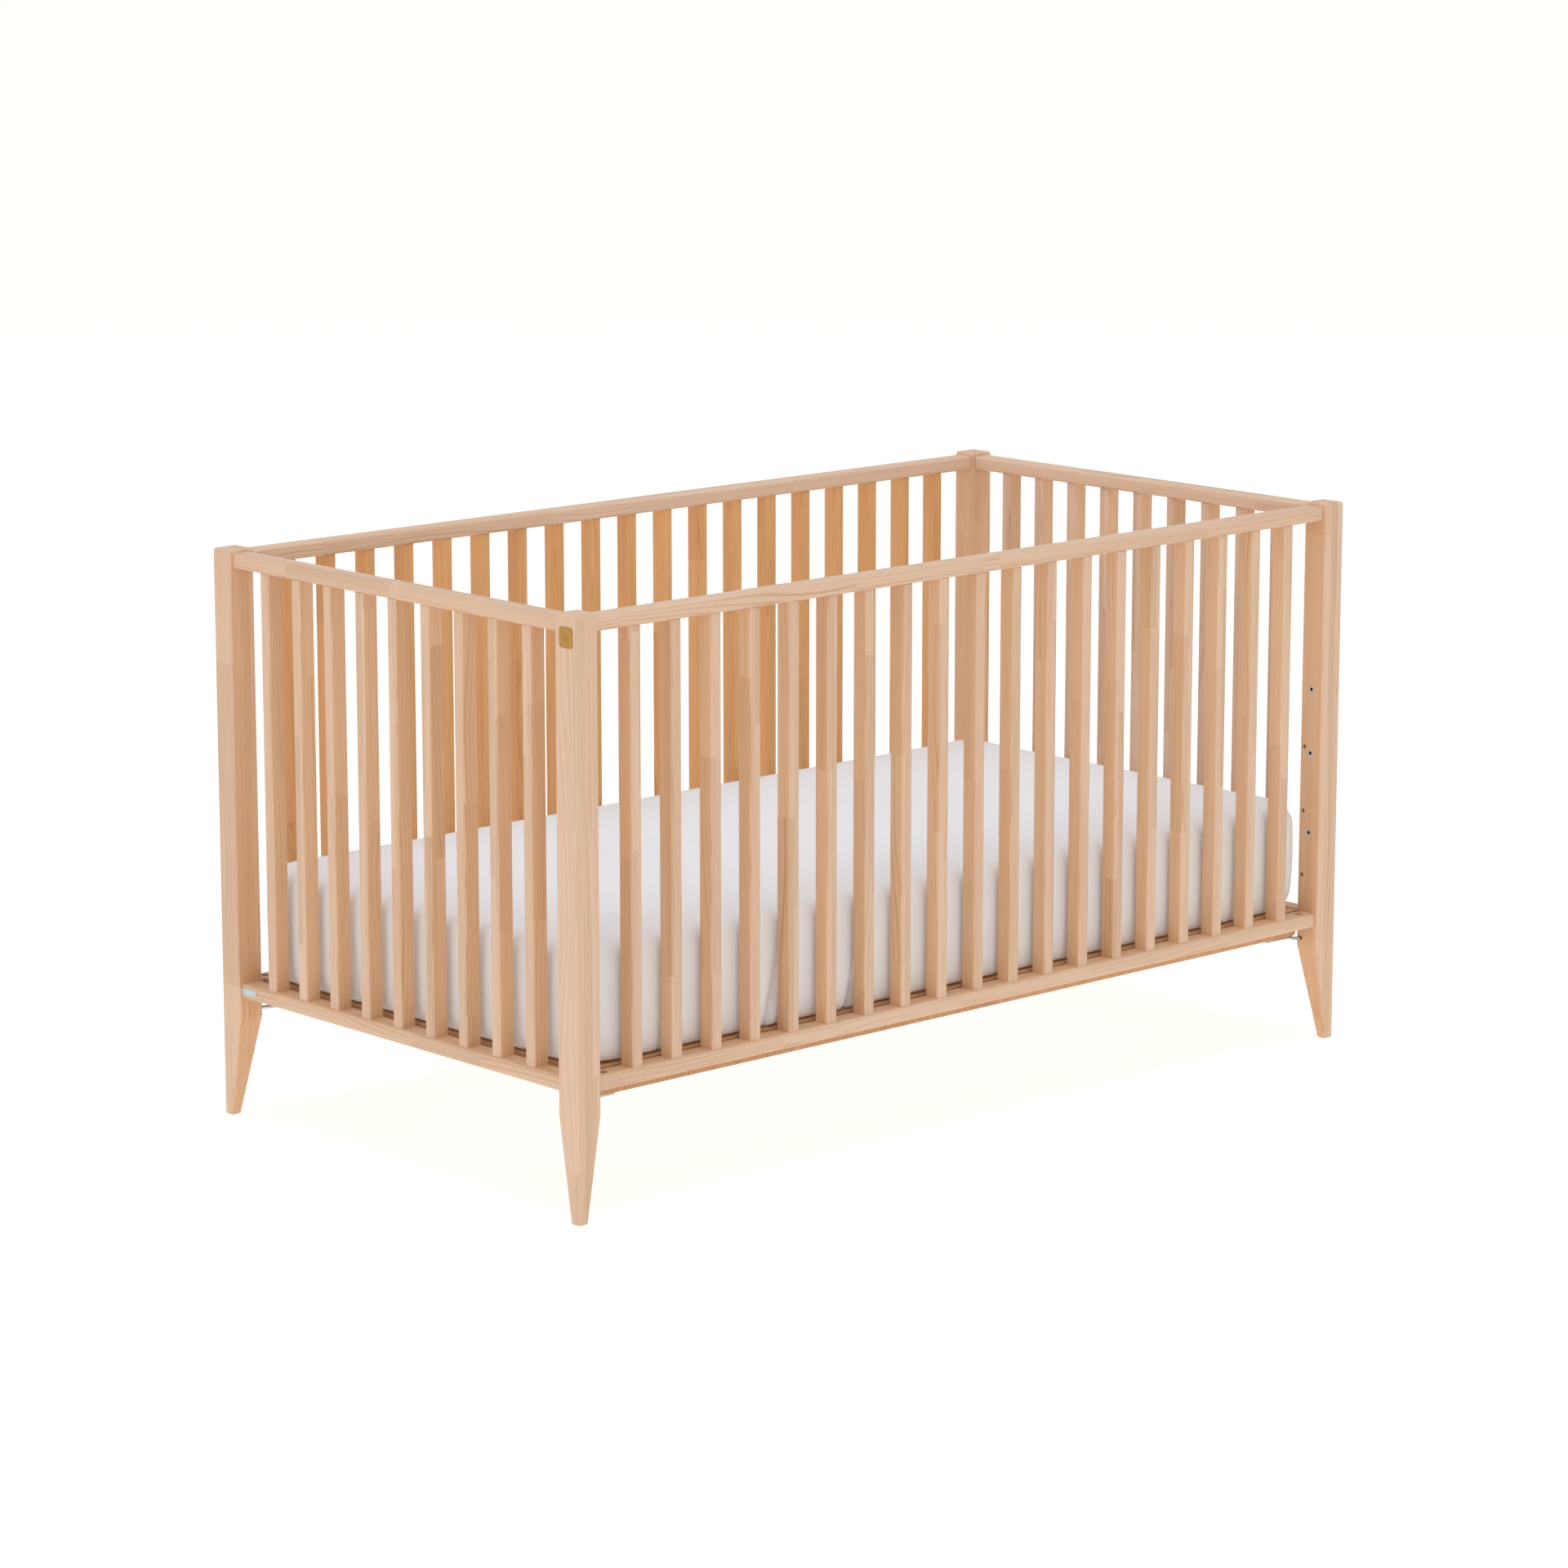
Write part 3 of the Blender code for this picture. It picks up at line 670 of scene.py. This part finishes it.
def pucker(body):
    """Folds drawn in over the bottom edge, a soft crown on top, and the cover's slack."""
    slack = random.Random(11)
    back = [
        (x * -1 + slack.uniform(-0.05, 0.05), lean, tall, wide, deep * 0.8)
        for x, lean, tall, wide, deep in FRONT_PUCKERS
    ]
    ends = [
        (y, slack.uniform(-0.2, 0.2), slack.uniform(0.04, 0.07), END_WIDE, END_DEEP)
        for y in END_PUCKERS
    ]
    waves = [
        (slack.uniform(2.5, 9.0), slack.uniform(2.5, 9.0), slack.uniform(0, math.tau))
        for _ in range(RIPPLE_WAVES)
    ]
    for vertex in body.data.vertices:
        at = vertex.co
        up = at.z - low.z
        reach_x = abs(at.x - middle.x) / half.x
        reach_y = abs(at.y - middle.y) / half.y
        folds = None
        if reach_y > SIDE_ZONE[0] and reach_x < SIDE_ZONE[1]:
            folds, place = (FRONT_PUCKERS if at.y < middle.y else back), at.x
            inward = Vector((0, 1 if at.y < middle.y else -1, 0))
        elif reach_x > END_ZONE[0] and reach_y < END_ZONE[1]:
            folds, place = ends, at.y
            inward = Vector((1 if at.x < middle.x else -1, 0, 0))
        if folds:
            for centre, lean, tall, wide, deep in folds:
                away = (place - centre - lean * up) / (wide * (FOLD_FOOT + up / tall))
                fade = max(0.0, 1 - up / (tall * FOLD_FADE))
                # A valley with a low ridge on each side.
                valley = 1.5 * math.exp(-away * away * 4) - 0.5 * math.exp(-away * away)
                at += inward * deep * fade * valley
        if up > CROWN_FROM * TALL:
            crown = (1 - min(1.0, reach_x) ** 4) * (1 - min(1.0, reach_y) ** 4)
            ripple = sum(math.sin(fx * at.x + fy * at.y + start) for fx, fy, start in waves)
            at.z += crown * (CROWN + RIPPLE * (ripple / RIPPLE_WAVES))


def smooth(body, times):
    """Evens out the small steps that the remesh leaves."""
    shape = bmesh.new()
    shape.from_mesh(body.data)
    for _ in range(times):
        bmesh.ops.smooth_vert(
            shape, verts=shape.verts, factor=0.5, use_axis_x=True, use_axis_y=True, use_axis_z=True
        )
    shape.to_mesh(body.data)
    shape.free()


def keep_clear(body):
    """Holds the cover between the rails and over the slats."""
    for vertex in body.data.vertices:
        at = vertex.co
        at.x = min(max(at.x, low.x - ROOM.x), high.x + ROOM.x)
        at.y = min(max(at.y, low.y - ROOM.y), high.y + ROOM.y)
        at.z = min(max(at.z, low.z), high.z + ROOM.z)


cover = mattress_body()
swell(cover)
smooth(cover, 2)
fill_out(cover)
finer = cover.modifiers.new("finer", "SUBSURF")
finer.levels = 1
finer.render_levels = 1
applied(cover, "finer")
pucker(cover)
keep_clear(cover)
for face in cover.data.polygons:
    face.use_smooth = True
cover.data.materials.clear()
cover.data.materials.append(COTTON)
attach(cover, "mattress_body")
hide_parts(MATTRESS)

# ---- Floor, light and camera --------------------------------------------------------------------
FLOOR_HALF = 40.0
FLOOR_GREY = (0.30, 0.30, 0.30, 1.0)
FLOOR_GLOW = (1.0, 0.97, 0.93, 1.0)  # its own light, so that it hardly takes a shadow
FLOOR_GLOW_STRENGTH = 0.86
SKY = (1.0, 0.985, 0.955, 1.0)
# The sky's strength against the rise of a direction over the floor.
SKY_SPAN = (("From Min", 0.24), ("From Max", 0.50), ("To Min", 0.98), ("To Max", 0.44))

floor_mesh = bpy.data.meshes.new("floor")
floor_mesh.from_pydata(
    [(FLOOR_HALF * x, FLOOR_HALF * y, 0.0) for x, y in ((-1, -1), (1, -1), (1, 1), (-1, 1))],
    [],
    [(0, 1, 2, 3)],
)
floor = bpy.data.objects.new("floor", floor_mesh)
bpy.context.scene.collection.objects.link(floor)
paper = Graph("floor_paper")
floor_mesh.materials.append(
    paper.finish(
        FLOOR_GREY,
        0.9,
        Specular_IOR_Level=0.05,
        Emission_Color=FLOOR_GLOW,
        Emission_Strength=FLOOR_GLOW_STRENGTH,
    )
)

# A studio sky: bright walls all round, dimmer overhead.
world = bpy.data.worlds.new("studio")
bpy.context.scene.world = world
world.use_nodes = True
sky = world.node_tree.nodes["Background"]
sky.inputs["Color"].default_value = SKY
direction = world.node_tree.nodes.new("ShaderNodeTexCoord")
rise = world.node_tree.nodes.new("ShaderNodeSeparateXYZ")
glow = world.node_tree.nodes.new("ShaderNodeMapRange")
world.node_tree.links.new(direction.outputs["Generated"], rise.inputs[0])
world.node_tree.links.new(rise.outputs[2], glow.inputs["Value"])
world.node_tree.links.new(glow.outputs[0], sky.inputs["Strength"])
for key, value in SKY_SPAN:
    glow.inputs[key].default_value = value


def panel(name, place, aim, size, power, colour):
    """A rectangular light at place, turned towards aim."""
    light = bpy.data.lights.new(name, "AREA")
    light.shape = "RECTANGLE"
    light.size, light.size_y = size
    light.energy = power
    light.color = colour
    made = bpy.data.objects.new(name, light)
    bpy.context.scene.collection.objects.link(made)
    made.location = place
    made.rotation_euler = (Vector(aim) - Vector(place)).to_track_quat("-Z", "Y").to_euler()


panel("left_wall", (-13.0, 0.5, 2.2), (0.0, 0.0, 0.4), (10.0, 5.0), 80.0, (0.95, 1.0, 1.06))
panel("corner_wall", (-10.5, -9.2, 2.4), (0.0, 0.0, 0.3), (8.0, 4.5), 125.0, (1.0, 0.985, 0.96))
panel("overhead", (-0.5, -0.5, 7.0), (0.0, 0.0, 0.4), (6.0, 5.0), 250.0, (0.92, 1.0, 1.10))

CAMERA_PLACE = (-4.9303, -5.3334, 1.9132)
CAMERA_YAW = 0.8273  # from +X towards +Y
CAMERA_DIP = 0.2013  # below level
camera = bpy.data.objects.new("camera", bpy.data.cameras.new("camera"))
bpy.context.scene.collection.objects.link(camera)
camera.location = CAMERA_PLACE
camera.rotation_euler = (math.pi / 2 - CAMERA_DIP, 0.0, CAMERA_YAW - math.pi / 2)
camera.data.sensor_width = 36.0
camera.data.lens = 118.19
camera.data.shift_x = 0.0018
camera.data.clip_end = 200.0
bpy.context.scene.camera = camera

bpy.context.scene.view_settings.view_transform = "Standard"
bpy.context.scene.view_settings.look = "None"
